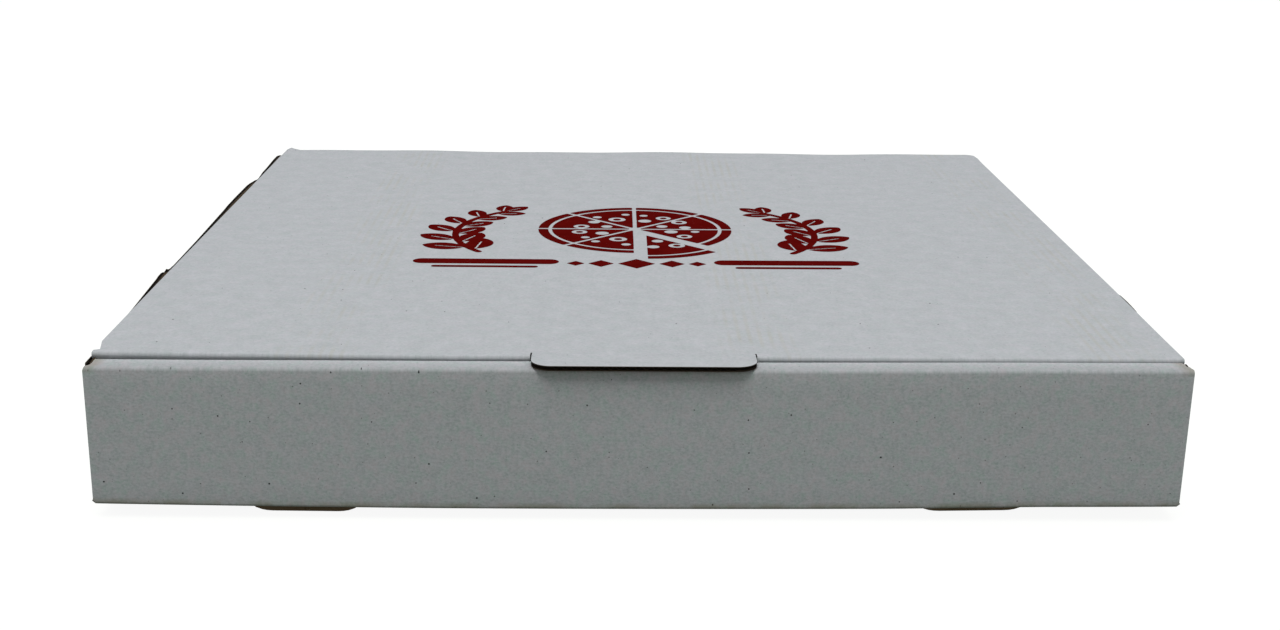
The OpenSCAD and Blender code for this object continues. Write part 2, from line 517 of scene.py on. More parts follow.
def front_path():
    """From the base's front crease up the front wall, over and down inside it."""
    path = Path((FRONT_Y + BEND_R, BOARD / 2), 180)
    path.line(FOOT_SHIFT)
    path.arc(-90, FOOT_R)
    path.line(WALL_H - 2 * BEND_R + FOOT_SHIFT + BROW_SHIFT)
    path.arc(-90, BROW_R)
    path.line(ROLL_D - 2 * BEND_R + BROW_SHIFT + FOLD_SHIFT)
    path.arc(-90, FOLD_R)
    path.line(WALL_H - BEND_R + FOLD_SHIFT - INNER_WALL_Z)
    path.line(INNER_WALL_Z)
    path.line(LOCK_TAB_DROP)
    return path


def back_path():
    """From the base's back crease up the back wall, over the lid and down its flap."""
    path = Path((BACK_Y - BEND_R, BOARD / 2), 0)
    path.arc(90, MID_R)
    path.line(HINGE_Z - BEND_R)
    path.arc(90, MID_R)
    path.line(LID_BACK_Y - LID_EDGE_Y)
    path.arc(90 + UNDERCUT, FOLD_R)
    path.line(UNDERCUT_L)
    path.kink(FLAP_LEAN - UNDERCUT)
    path.line(FOLD_SHIFT + TUCK_L - UNDERCUT_L)
    return path


SLOT_X = (LOCK_TAB_X - LOCK_TAB_HALF_W - CLEARANCE, LOCK_TAB_X + LOCK_TAB_HALF_W + CLEARANCE)
SLOT_Y = (FRONT_Y + ROLL_D - BOARD - CLEARANCE, FRONT_Y + ROLL_D + CLEARANCE)
TAB_X = (LOCK_TAB_X - LOCK_TAB_HALF_W, LOCK_TAB_X + LOCK_TAB_HALF_W)
TAB_ROW = 0.8
END_ROW = 0.7
# How far behind the brow the strip's left end goes on getting narrower
LEFT_END_L = 1.4
# Rows change in length only outside these places
ENDS_X = 150.0
FLAP_ENDS_X = 120.0
NOTCH_SIDES_X = 60.0


def base_patch(sheet, xs, ys):
    def in_slot(x, y):
        return SLOT_X[0] < abs(x) < SLOT_X[1] and SLOT_Y[0] < y < SLOT_Y[1]

    sheet.patch(
        xs, ys,
        lambda x, y: ((x, y, BOARD / 2), (x, y)),
        (0, 0, -1),
        keep=lambda x, y: not in_slot(x, y),
    )


def front_patch(sheet, xs):
    path = front_path()
    bend, foot, wall, top, strip, inner_top, inner, slot, tip = path.marks

    def reach(x, s):
        start, end = (wall, top + LEFT_END_L) if x < 0 else (top, strip)
        share = min(1.0, max(0.0, (s - start) / (end - start)))
        return HALF_W + share * (INNER_HALF_W - HALF_W)

    def tab_half(s):
        if s <= slot:
            return LOCK_TAB_HALF_W
        drop = s - slot
        taper = LOCK_TAB_TAPER * drop / LOCK_TAB_DROP
        turn = TAB_END_L * round_inset(LOCK_TAB_DROP - drop, LOCK_TAB_R) / LOCK_TAB_R
        return LOCK_TAB_HALF_W - taper - turn

    def place(x, s):
        y, z = path.at(s)
        if s <= inner + SAME:
            return (pulled_in(x, reach(x, s), HALF_W, ENDS_X), y, z), (x, -BASE_Y - s)
        side = math.copysign(LOCK_TAB_X, x)
        share = (x - side) / LOCK_TAB_HALF_W
        return (side + share * tab_half(s), y, z), (x, -BASE_Y - s)

    walls = joined_lines(
        [0.0], arc_lines(bend, foot), lines(foot, wall), arc_lines(wall, top),
        lines(top, strip, step=STRIP_STEP), arc_lines(strip, inner_top), lines(inner_top, inner),
    )
    sheet.patch(xs, walls, place, (0, 0, -1))
    tabs = [inner, slot, slot + TAB_ROW] + turn_lines(tip, LOCK_TAB_R, (0, 20, 40, 60, 75, 90))
    for side in (-1, 1):
        tab_xs = [x for x in xs if TAB_X[0] - SAME <= side * x <= TAB_X[1] + SAME]
        sheet.patch(tab_xs, tabs, place, (0, 1, 0))


def back_patch(sheet, xs):
    foot = back_path().marks[0]
    seam = foot + CREASE_LOW_Z - BEND_R
    sheet.patch(xs, joined_lines(arc_lines(0, foot), lines(foot, seam)), lid_place, (0, 0, -1))


# How high a side wall stands, with its steps at the front and the back
STEP_L = 0.2
WALL_TOP = (
    (ROLL_SHOULDER_Y, SHOULDER_Z),
    (ROLL_SHOULDER_Y + STEP_L, TUCK_SHOULDER_Z),
    (FRONT_SHOULDER_Y, TUCK_SHOULDER_Z),
    (FRONT_SHOULDER_Y + TUCK_SHOULDER_RISE, WALL_H),
    (BACK_SHOULDER_Y - SHOULDER_RISE, WALL_H),
    (BACK_SHOULDER_Y, SHOULDER_Z),
)
# More lines where a side wall's front end is bent
CORNER_YS = (-156.5, -152.0, -151.0, -150.0)


def side_patch(sheet, ys, side):
    foot = MID_R * math.pi / 2
    heights = lines(BEND_R, FLAP_Z, SHOULDER_Z)
    rows = [(z - BEND_R) / (SHOULDER_Z - BEND_R) for z in heights]
    bottom = Path((-HALF_W + BEND_R, BOARD / 2), 180)
    bottom.arc(-90, MID_R)

    def crease(y, s):
        x, z = bottom.at(s)
        return (-side * x, y, z), (side * (BASE_X + s), y)

    def wall(y, r):
        rise = r * (float(from_table(y, WALL_TOP)) - BEND_R)
        return (side * (HALF_W - BOARD / 2), y, BEND_R + rise), (side * (BASE_X + foot + rise), y)

    sheet.patch(ys, arc_lines(0, foot), crease, (0, 0, -1))
    sheet.patch(ys, rows, wall, (side, 0, 0))
    for end in (-1, 1):
        corner_flap_patch(sheet, side, end, heights[1:], foot)


def corner_flap_patch(sheet, side, end, heights, foot):
    low, high = heights[0], heights[-1]
    path = Path((HALF_W - BOARD / 2, SIDE_Y), 90)
    path.arc(90, MID_R)
    turn = path.length
    path.line(FLAP_L)

    def place(s, z):
        x, y = path.at(s)
        out = max(0.0, s - turn)
        inset = FLAP_TAPER * out / FLAP_L + round_inset(FLAP_L - out, FLAP_R)
        share = (z - low) / (high - low)
        blank = (side * (BASE_X + foot + z - BEND_R), end * (SIDE_Y + s))
        return (side * x, end * y, low + inset + share * (high - low - 2 * inset)), blank

    rows = joined_lines(arc_lines(0, turn), [turn + out for out in round_lines(FLAP_L, FLAP_R)])
    sheet.patch(rows, heights, place, (side, 0, 0))


def tray_sheet():
    sheet = Sheet()
    base_xs = lines(0.0, *both_sides(BASE_X, *SLOT_X, *TAB_X))
    steps = [mark[0] for mark in WALL_TOP]
    dents = [row[0] for row in LEFT_DENTS if row[0] < SIDE_Y]
    base_ys = lines(*both_sides(BASE_Y, SIDE_Y), *SLOT_Y, *steps, *dents, *CORNER_YS)
    side_ys = [y for y in base_ys if abs(y) <= SIDE_Y + SAME]
    base_patch(sheet, base_xs, base_ys)
    front_patch(sheet, [-HALF_W, -HALF_W + END_ROW] + base_xs + [HALF_W - END_ROW, HALF_W])
    back_patch(sheet, [-LID_HALF_W] + base_xs + [LID_HALF_W])
    for side in (-1, 1):
        side_patch(sheet, side_ys, side)
    return sheet


CORNER_XS = [LID_HALF_W - inset for inset in (1.0, 2.2, 4.0, 6.5)]
LID_XS = lines(0.0, *both_sides(LID_HALF_W, *CORNER_XS, NOTCH_HALF_W, THUMB_HALF_W))
# The nick in the lid's left edge: where it starts, is deepest and ends
NICK_YS = (LID_FRONT_Y + 0.25, LID_FRONT_Y + BEND_R / 2, LID_FRONT_Y + BEND_R / 2 + NICK_L)
FLAP_STEP_D = FOLD_SHIFT + LAP
FLAP_STEP_L = 0.1
NOTCH_FADE_L = 12.0


def lid_place(x, s):
    """A point of the back wall, the lid or its flap, and its place on the flat blank."""
    path = back_path()
    lid_end, turn_end = path.marks[3:5]
    y, z = path.at(s)
    if s <= lid_end + SAME:
        x_now = nicked(x, y)
    elif s <= turn_end + SAME:
        x_now = x
    else:
        x_now = flap_x(x, s - turn_end, path.length - turn_end)
    return (x_now, y, z), (x, BASE_Y + s)


def nicked(x, y):
    if x > -ENDS_X:
        return x
    return pulled_in(x, LID_HALF_W - np.interp(y, NICK_YS, (0.0, NICK_D, 0.0)), LID_HALF_W, ENDS_X)


def flap_x(x, drop, length):
    """Where a grid line of the tuck flap lies at a distance below its crease."""
    if drop <= FLAP_STEP_D + SAME:
        reach = LID_HALF_W
    else:
        reach = TUCK_HALF_W - TUCK_TAPER * (drop - FLAP_STEP_D) / (length - FLAP_STEP_D)
    reach -= round_inset(length - drop, TUCK_R)
    if drop <= NOTCH_D:
        notch = NOTCH_HALF_W - round_inset(NOTCH_D - drop, THUMB_R)
    else:
        notch = NOTCH_HALF_W - THUMB_R * float(1 - smooth((drop - NOTCH_D) / NOTCH_FADE_L))
    if abs(x) <= NOTCH_HALF_W:
        return x * notch / NOTCH_HALF_W
    if abs(x) <= NOTCH_SIDES_X:
        share = (abs(x) - NOTCH_HALF_W) / (NOTCH_SIDES_X - NOTCH_HALF_W)
        return math.copysign(notch + share * (NOTCH_SIDES_X - notch), x)
    return pulled_in(x, reach, LID_HALF_W, FLAP_ENDS_X)


def lid_panel_patch(sheet, lid_start, lid_end):
    places = (CREASE_LID_Y, LID_FRONT_Y + SLIT_L, *NICK_YS)
    seam, slit_end, *nick_rows = (lid_start + LID_BACK_Y - y for y in places)

    def in_slit(x, s):
        return THUMB_HALF_W < abs(x) < NOTCH_HALF_W and s > slit_end

    rows = lines(seam, slit_end, *nick_rows, lid_end)
    sheet.patch(LID_XS, rows, lid_place, (0, 0, 1), keep=lambda x, s: not in_slit(x, s))


def thumb_patch(sheet, lid_end):
    xs = [x for x in LID_XS if abs(x) <= THUMB_HALF_W + SAME]
    reach = LID_EDGE_Y - THUMB_TIP_Y

    def place(x, out):
        half = THUMB_HALF_W - round_inset(reach - out, THUMB_R)
        z = LID_TOP - BOARD / 2
        return (x * half / THUMB_HALF_W, LID_EDGE_Y - out, z), (x, BASE_Y + lid_end + out)

    rows = lines(0.0, reach - THUMB_R, step=THUMB_STEP) + round_lines(reach, THUMB_R)
    sheet.patch(xs, joined_lines(sorted(rows)), place, (0, 0, 1))


def tuck_patch(sheet, lid_end, turn_end, undercut_end, flap_end):
    notch_end = turn_end + NOTCH_D
    step = turn_end + FLAP_STEP_D
    rows = joined_lines(
        arc_lines(lid_end, turn_end),
        [step, step + FLAP_STEP_L, undercut_end],
        turn_lines(notch_end, THUMB_R, range(0, 91, 15)),
        lines(notch_end, flap_end - TUCK_R, step=FLAP_STEP),
        turn_lines(flap_end, TUCK_R, range(0, 91, 10)),
    )

    def in_flap(x, s):
        return abs(x) > NOTCH_HALF_W or s > notch_end

    sheet.patch(LID_XS, rows, lid_place, (0, 0, 1), keep=in_flap)


def lid_sheet():
    sheet = Sheet()
    lid_start, lid_end, turn_end, undercut_end, flap_end = back_path().marks[2:]
    lid_panel_patch(sheet, lid_start, lid_end)
    thumb_patch(sheet, lid_end)
    tuck_patch(sheet, lid_end, turn_end, undercut_end, flap_end)
    return sheet


def crease_sheet():
    sheet = Sheet()
    foot, fold_start, lid_start = back_path().marks[:3]
    rows = joined_lines(
        lines(foot + CREASE_LOW_Z - BEND_R, fold_start, step=CREASE_STEP),
        arc_lines(fold_start, lid_start, 10),
        lines(lid_start, lid_start + LID_BACK_Y - CREASE_LID_Y, step=CREASE_STEP),
    )
    sheet.patch(LID_XS, rows, lid_place, (0, 1, 0))
    return sheet


# How the folded board has bent in use. A pair of places says where a bend is nothing and where it is full

# Dents in the side walls' top edges, from back to front: place and strength
LEFT_DENTS = (
    (158.0, 0.1), (154.0, 0.5), (147.0, 0.76), (139.0, 0.76), (121.0, 0.57), (112.0, 0.53),
    (100.5, 0.26), (98.0, 0.3), (95.0, 0.5), (86.0, 0.82), (80.0, 0.92), (58.0, 0.93), (43.0, 0.88),
    (34.0, 0.77), (-13.0, 0.45), (-48.0, 0.33), (-53.0, 0.38), (-55.6, 0.45), (-56.4, 0.76),
    (-60.4, 0.63), (-61.2, 0.8), (-63.0, 0.9), (-66.5, 0.87), (-70.0, 0.77), (-104.0, 0.2),
    (-115.0, 0.1), (-140.0, 0.0),
)
RIGHT_DENTS = (
    (-50.0, 0.0), (-77.0, 0.32), (-81.0, 0.54), (-90.0, 0.62), (-99.0, 0.52), (-104.0, 0.32), (-125.0, 0.0),
)
# Side walls: side, dents, how far the wall bows out, and how far a dent reaches out and up
SIDE_WALLS = ((-1, LEFT_DENTS, 0.9, 1.25, 1.75), (1, RIGHT_DENTS, 0.3, 1.3, 1.4))
SIDE_WALL_X = HALF_W - 1.3
DENTS_BACK_Y = (SIDE_Y, SIDE_Y - 9.0)
DENTS_FRONT_Y = (-150.0, -138.0)
# How steeply bends grow from a wall's foot to its top
BOW_POWER = 1.6
END_POWER = 3
LIFT_POWER = 5
TOP_POWER = 6

# The side walls' front ends. The left one stands up beside the strip and is drawn in behind the lid's nick
END_FRONT_Y = (-SIDE_Y, -SIDE_Y + 4.0)
END_BACK_Y = (-149.5, -152.5)
RIGHT_END_OUT = 0.3
END_HOLDS_UP = 0.7
PINCH = 2.0
PINCH_FRONT_Y = (-151.3, -148.8)
PINCH_BACK_Y = (-138.0, -144.0)
RAISED_Z = WALL_H - 0.05
RAISED_OUT = 0.2
RAISED_BACK_Y = (-149.8, -151.3)
RAISED_BEND_Y = (-SIDE_Y - 1.3, -SIDE_Y)
FLAP_BEND_L = 1.4
NEAR = 0.1

# How far the lid's front has sunk, from left to right
LID_SINK = (
    (-161.0, -0.15), (-128.0, -0.4), (-99.0, -0.52), (-55.0, -0.77), (-36.0, -0.62),
    (36.0, -0.62), (61.0, -0.64), (105.0, -0.68), (161.0, -0.52),
)
SINK_Y = (-62.0, -147.0)

# How much higher the front roll stands than the solids, from left to right
ROLL_RISE = (
    (-161.0, -0.1), (-130.0, -0.15), (-99.0, -0.08), (-40.0, -0.04), (40.0, 0.0),
    (105.0, 0.42), (161.0, 0.55),
)
ROLL_Z = (20.0, 38.0)
ROLL_BACK_Y = (-150.5, -153.0)
STRIP_D = 7.4
STRIP_RISE = 0.1
STRIP_CROWN = 0.005
STRIP_FORWARD = 0.6
STRIP_FORWARD_Z = (38.5, 40.5)
STRIP_FORWARD_Y = (-156.0, -153.5)
STRIP_BACK_Y = -152.5
STRIP_HALF_W = 160.0

# How far the front wall's foot has sagged, from left to right
FRONT_SAG = (
    (-161.5, 0.3), (-160.8, 0.95), (-60.0, 1.0), (0.0, 0.8), (75.0, 0.65), (118.0, 0.25),
    (160.8, 0.5), (161.5, -0.1),
)
SAG_Y = (-120.0, -158.0)
BASE_BULGE = 1.2
BULGE_Y = (FRONT_Y + 110.0, FRONT_Y)
RIGHT_FOOT_IN = 0.6
RIGHT_FOOT_X = (140.0, 160.0)

# The lock tabs and their slots lie further out than in the solids, and the tabs hang less far down
TABS_OUT = 2.6
TABS_INNER_X = (84.0, 112.0)
TABS_OUTER_X = (150.0, 120.0)
TABS_BACK_Y = (-140.0, -148.0)
TABS_Z = (12.0, 4.0)
LEFT_TAB_SHORTER = 0.1
RIGHT_TAB_SHORTER = 0.6

# The lid: its thumb tab lies on the roll, its middle sags, and its back corners are bent
THUMB_SINK = -0.1
THUMB_LOW_Z = 40.0
THUMB_ROLL_Y = (-149.3, -153.3)
THUMB_SHIFT = 0.85
THUMB_SHIFT_X = (66.0, 34.0)
THUMB_SHIFT_Y = (-140.0, -150.0)
LID_SAG = 0.4
LID_SAG_W = 330.0
LID_SAG_Y = (BACK_Y - 8.0, BACK_Y - 68.0)
HINGE_BENT_Z = (CREASE_LOW_Z + 0.5, CREASE_LOW_Z + 3.5)
HINGE_BENT_Y = (140.0, 152.0)
BUMP = 1.2
BUMP_W = 2.2
LEFT_DROOP = 0.7
LEFT_DROOP_W = 1.0
RIGHT_DROOP = 0.5
RIGHT_DROOP_X = (157.5, 161.5)
RIGHT_DROOP_Y = (150.0, 159.0)
LONG_WAVE = 0.22
LONG_WAVE_L = 21.0
LONG_WAVE_START = 0.6
SHORT_WAVE = 0.12
SHORT_WAVE_L = 8.5


def bend_side_walls(p, x, y, z):
    """Bows and dents both walls, then shapes their front ends and lowers them with the lid."""
    height = np.clip(z / WALL_H, 0.0, 1.0)
    wall = (np.abs(x) > SIDE_WALL_X) & (np.abs(y) <= SIDE_Y)
    left, right = wall & (x < 0), wall & (x > 0)
    ends = wall * ease(y, *DENTS_BACK_Y) * ease(y, *DENTS_FRONT_Y)
    for side, dents, bow, reach, lift in SIDE_WALLS:
        dent = from_table(y, dents)
        share = ends * (side * x > 0)
        p[:, 0] += side * share * (bow + reach * dent) * height ** BOW_POWER
        p[:, 2] += share * lift * dent * height ** LIFT_POWER
    corner = ease(y, *END_FRONT_Y) * ease(y, *END_BACK_Y)
    p[:, 0] += right * RIGHT_END_OUT * corner * height ** END_POWER
    p[:, 0] += left * PINCH * ease(y, *PINCH_FRONT_Y) * ease(y, *PINCH_BACK_Y) * height ** END_POWER
    tops = from_table(y, WALL_TOP)
    bend = (x < -HALF_W + BEND_R + NEAR) & (z < SHOULDER_Z + NEAR)
    bend &= (y < -SIDE_Y) & (y > -SIDE_Y - FLAP_BEND_L)
    raised = np.where(bend, ease(y, *RAISED_BEND_Y), left * ease(y, *RAISED_BACK_Y))
    p[:, 2] += raised * (RAISED_Z - tops) * np.clip(z / tops, 0.0, 1.0) ** TOP_POWER
    p[:, 0] -= raised * RAISED_OUT * height ** END_POWER
    sunk = wall * from_table(x, LID_SINK) * ease(y, *SINK_Y)
    p[:, 2] += sunk * height ** TOP_POWER * (1 - raised) * (1 - END_HOLDS_UP * corner)


def bend_roll(p, x, y, z):
    roll = ease(z, *ROLL_Z) * ease(y, *ROLL_BACK_Y)
    behind = np.clip(y - FRONT_Y, 0.0, STRIP_D)
    p[:, 2] += roll * (from_table(x, ROLL_RISE) + STRIP_RISE - STRIP_CROWN * (STRIP_D - behind) ** 2)
    strip = (y < STRIP_BACK_Y) & (np.abs(x) < STRIP_HALF_W)
    p[:, 1] -= STRIP_FORWARD * ease(z, *STRIP_FORWARD_Z) * ease(y, *STRIP_FORWARD_Y) * strip


def bend_base(p, x, y, z):
    low = 1.0 - np.clip(z / WALL_H, 0.0, 1.0)
    p[:, 2] -= BASE_BULGE * ease(y, *BULGE_Y) * (1.0 - (x / HALF_W) ** 2) * low
    p[:, 2] -= from_table(x, FRONT_SAG) * ease(y, *SAG_Y) * low
    p[:, 0] -= RIGHT_FOOT_IN * ease(x, *RIGHT_FOOT_X) * (y < -SIDE_Y) * low


def bend_lock_tabs(p, x, y, z):
    hanging = (y > FRONT_Y + ROLL_D - BOARD) & (y < FRONT_Y + ROLL_D) & (z < 0.0)
    shorter = np.where(x > 0, RIGHT_TAB_SHORTER, LEFT_TAB_SHORTER)
    p[:, 2] += hanging * np.clip(-z / LOCK_TAB_DROP, 0, 1) * shorter
    out = np.abs(x)
    near = ease(out, *TABS_INNER_X) * ease(out, *TABS_OUTER_X) * ease(y, *TABS_BACK_Y) * ease(z, *TABS_Z)
    p[:, 0] += TABS_OUT * np.sign(x) * near * (y > FRONT_Y + BOARD)


def bend_lid_front(p, x, y, z):
    front = ease(y, *SINK_Y)
    thumb = np.abs(x) < (THUMB_HALF_W + NOTCH_HALF_W) / 2
    on_roll = thumb * (z > THUMB_LOW_Z) * ease(y, *THUMB_ROLL_Y)
    p[:, 2] += front * from_table(x, LID_SINK) * (1 - on_roll) + THUMB_SINK * on_roll
    p[:, 0] += THUMB_SHIFT * ease(np.abs(x), *THUMB_SHIFT_X) * ease(y, *THUMB_SHIFT_Y)
    across = np.cos(np.pi * np.clip(x / LID_SAG_W, -0.5, 0.5))
    p[:, 2] -= LID_SAG * ease(y, *LID_SAG_Y) * (1 - front) * across


def bend_lid_back(p, x, y, z):
    hinge = ease(z, *HINGE_BENT_Z) * ease(y, *HINGE_BENT_Y)
    left = -LID_HALF_W - x
    bump = BUMP * np.exp(-((left + BUMP_W) / BUMP_W) ** 2)
    droop = LEFT_DROOP * np.exp(-(left / LEFT_DROOP_W) ** 2)
    droop += RIGHT_DROOP * ease(x, *RIGHT_DROOP_X) * ease(y, *RIGHT_DROOP_Y)
    wave = LONG_WAVE * np.sin(x / LONG_WAVE_L + LONG_WAVE_START) + SHORT_WAVE * np.sin(x / SHORT_WAVE_L)
    p[:, 2] += hinge * (bump - droop + wave)


def bent(points, *bends):
    p = points.copy()
    for bend in bends:
        bend(p, *points.T)
    return p


def tray_warp(points):
    return bent(points, bend_side_walls, bend_roll, bend_base, bend_lock_tabs)


def lid_warp(points):
    return bent(points, bend_lid_front, bend_lid_back)


# The print on the lid, in millimetres from its middle

PRINT_MIDDLE = (0.0, -2.0)
PRINT_HALF_W = 84.0
PRINT_HALF_D = 50.0
PRINT_CELL = 0.6
INK_HEIGHT = 0.06
PIZZA_MIDDLE = (0.0, 9.0)
PIZZA_R = 37.0
SLICES = 8
DRAWN_SLICE = 6
DRAWN_OUT = 9.0
SLICE_GAP = 0.75
CRUST_IN = 5.2
CRUST_HALF_W = 1.9
# Round toppings on three kinds of slice: place along it, place across it and radius
TOPPINGS = (
    ((20.5, 4.2, 3.1), (19.0, -4.6, 2.3), (11.5, 0.4, 2.2)),
    ((21.5, -3.4, 3.0), (14.2, 1.6, 2.6), (22.6, 5.4, 1.7)),
    ((17.4, 0.2, 3.4), (24.0, -6.2, 1.7), (23.8, 6.0, 1.8)),
)
OLIVE = 0.45
STEM_MIDDLE = (22.0, 2.0)
STEM_R = 46.0
STEM_HALF_W = 1.3
STEM_ANGLES = range(-40, 51, 6)
LEAF_ANGLES = range(-34, 47, 16)
LEAF_L = 16.0
LEAF_SHORTER = 1.0
LEAF_WIDTH = 0.62
LEAF_REACH = 0.62
LEAF_SPREAD = 42
LEAF_STAGGER = 2.5
VEIN_HALF_W = 0.34
VEIN_END = 0.2
TOP_LEAF_ANGLE = 53
TOP_LEAF_OUT = 0.6
TOP_LEAF_SHIFT = 3.0
TOP_LEAF_HEADING = 135
TOP_LEAF_L = 12.0
TOP_LEAF_W = 6.6
# Bars: where they start and end, their height in the print and half their width
BARS = ((31.0, 76.0, -41.5, 3.4), (36.0, 71.0, -48.6, 1.3))
# Diamonds: how far they lie from the middle, and half their width
DIAMONDS = ((0.0, 6.6), (12.6, 4.6), (21.6, 3.2))
DIAMOND_Y = -43.5
DIAGONAL = 0.7071


def disc(x, y, cx, cy, r):
    return np.hypot(x - cx, y - cy) - r


def stroke(x, y, ax, ay, bx, by, half):
    dx, dy = bx - ax, by - ay
    t = np.clip(((x - ax) * dx + (y - ay) * dy) / (dx * dx + dy * dy), 0, 1)
    return np.hypot(x - ax - t * dx, y - ay - t * dy) - half


def on_circle(middle, radius, degrees):
    angle = math.radians(degrees)
    return middle[0] + radius * math.cos(angle), middle[1] + radius * math.sin(angle)


def turned(x, y, middle, degrees):
    """Places along a heading and across it, from a middle."""
    c, s = math.cos(math.radians(degrees)), math.sin(math.radians(degrees))
    dx, dy = x - middle[0], y - middle[1]
    return dx * c + dy * s, -dx * s + dy * c


def leaf(x, y, middle, heading, length, width):
    """A pointed leaf with a fine vein left bare in its lower part."""
    u, v = turned(x, y, middle, heading)
    radius = (length ** 2 + width ** 2) / (4 * width)
    side = radius - width / 2
    blade = np.maximum(np.hypot(u, v + side), np.hypot(u, v - side)) - radius
    vein = np.where(u < length * VEIN_END, VEIN_HALF_W - np.abs(v), -1.0)
    return np.maximum(blade, vein)


def pizza_slice(x, y, tip, heading, toppings):
    """One slice with its crust, toppings left bare, and an olive in the first of them."""
    u, v = turned(x, y, tip, heading)
    half = math.pi / SLICES
    sides = np.abs(v) * math.cos(half) - u * math.sin(half) + SLICE_GAP
    r = np.hypot(u, v)
    body = np.maximum(sides, r - (PIZZA_R - CRUST_IN))
    crust = np.maximum(sides, np.abs(r - (PIZZA_R - CRUST_HALF_W)) - CRUST_HALF_W)
    bare = np.minimum.reduce([disc(u, v, *topping) for topping in toppings])
    along, across, radius = toppings[0]
    olive = disc(u, v, along, across, radius * OLIVE)
    return np.minimum.reduce([np.maximum(body, -bare), olive, crust])


def sprig(x, y):
    """A curved stem on the right with leaves on both sides and one at its end."""
    stem = [on_circle(STEM_MIDDLE, STEM_R, angle) for angle in STEM_ANGLES]
    parts = [stroke(x, y, *a, *b, STEM_HALF_W) for a, b in zip(stem, stem[1:])]
    for i, angle in enumerate(LEAF_ANGLES):
        size = LEAF_L - LEAF_SHORTER * i
        for side in (-1, 1):
            heading = angle + 90 - side * LEAF_SPREAD
            root = on_circle(STEM_MIDDLE, STEM_R, angle + LEAF_STAGGER * side)
            middle = on_circle(root, LEAF_REACH * size, heading)
            parts.append(leaf(x, y, middle, heading, size, LEAF_WIDTH * size))
    end = on_circle(STEM_MIDDLE, STEM_R + TOP_LEAF_OUT, TOP_LEAF_ANGLE)
    middle = (end[0] - TOP_LEAF_SHIFT, end[1] + TOP_LEAF_SHIFT)
    parts.append(leaf(x, y, middle, TOP_LEAF_HEADING, TOP_LEAF_L, TOP_LEAF_W))
    return np.minimum.reduce(parts)


def print_field(x, y):
    """Below zero in the ink: a pizza with one slice drawn out, two sprigs, bars and diamonds."""
    parts = [sprig(np.abs(x), y)]
    for i in range(SLICES):
        heading = (i + 0.5) * 360 / SLICES
        tip = on_circle(PIZZA_MIDDLE, DRAWN_OUT, heading) if i == DRAWN_SLICE else PIZZA_MIDDLE
        parts.append(pizza_slice(x, y, tip, heading, TOPPINGS[i % len(TOPPINGS)]))
    for bar_start, bar_end, bar_y, half in BARS:
        parts.append(stroke(np.abs(x), y, bar_start, bar_y, bar_end, bar_y, half))
    for out, half in DIAMONDS:
        parts.append((np.abs(np.abs(x) - out) + np.abs(y - DIAMOND_Y) - half) * DIAGONAL)
    return np.minimum.reduce(parts)


def contour_cells(xs, ys, field):
    """Cuts grid cells along the field's zero line and keeps what is below zero."""
    points, index, faces = [], {}, []

    def vertex(key, place):
        if key not in index:
            index[key] = len(points)
            points.append(place)
        return index[key]

    for i in range(len(xs) - 1):
        for j in range(len(ys) - 1):
            ring = ((i, j), (i + 1, j), (i + 1, j + 1), (i, j + 1))
            values = [field[a, b] for a, b in ring]
            if min(values) >= 0:
                continue
            face = []
            for k in range(4):
                a, b = ring[k], ring[(k + 1) % 4]
                fa, fb = values[k], values[(k + 1) % 4]
                pa, pb = (xs[a[0]], ys[a[1]]), (xs[b[0]], ys[b[1]])
                if fa < 0:
                    face.append(vertex(a, pa))
                if (fa < 0) != (fb < 0):
                    t = fa / (fa - fb)
                    place = (pa[0] + t * (pb[0] - pa[0]), pa[1] + t * (pb[1] - pa[1]))
                    face.append(vertex((min(a, b), max(a, b)), place))
            if len(face) >= 3:
                faces.append(face)
    return points, faces


def print_piece(material):
    xs = np.arange(-PRINT_HALF_W, PRINT_HALF_W + NEAR, PRINT_CELL)
    ys = np.arange(-PRINT_HALF_D, PRINT_HALF_D + NEAR, PRINT_CELL)
    points, faces = contour_cells(xs, ys, print_field(*np.meshgrid(xs, ys, indexing="ij")))
    half = BOARD / 2
    flat = np.array([(x + PRINT_MIDDLE[0], y + PRINT_MIDDLE[1], LID_TOP - half) for x, y in points])
    top = lid_warp(flat) + np.array([0.0, 0.0, half + INK_HEIGHT])
    blank = [(x, -y) for x, y in flat[:, :2]]
    count = len(faces)
    return mesh_piece("lid_print", top, faces, blank, [material], [0] * count, [True] * count)


# Materials. Sizes are in millimetres on the flat blank

LID_START = BASE_Y + WALL_H
LID_CLEANER = 0.72
FOOT_SHADE_BAND = (1.6, 0.3)
ROLLER_TRACKS = (-97.0, 36.0, 145.0)
ROLLER_HALF_W = 14.0
ROLLER_CORE_HALF_W = 8.4
WORN_END = (HALF_W - 4.5, HALF_W - 1.5)
WORN_FADE = 1.0
WAVES_IN_UNIT = 10.0 / math.pi
# Ways in which patterns are moved so that no two are alike
NOISE_WAY = (1.0, 0.7, 1.3)
SPECK_WAY = (1.0, 0.6, 0.0)
SPECK_LEAST = 0.4


def srgb(*levels):
    """A colour from its three levels, 0 to 255, as a picture has them."""
    shares = [level / 255 for level in levels]
    linear = [c / 12.92 if c <= 0.04045 else ((c + 0.055) / 1.055) ** 2.4 for c in shares]
    return (*linear, 1.0)


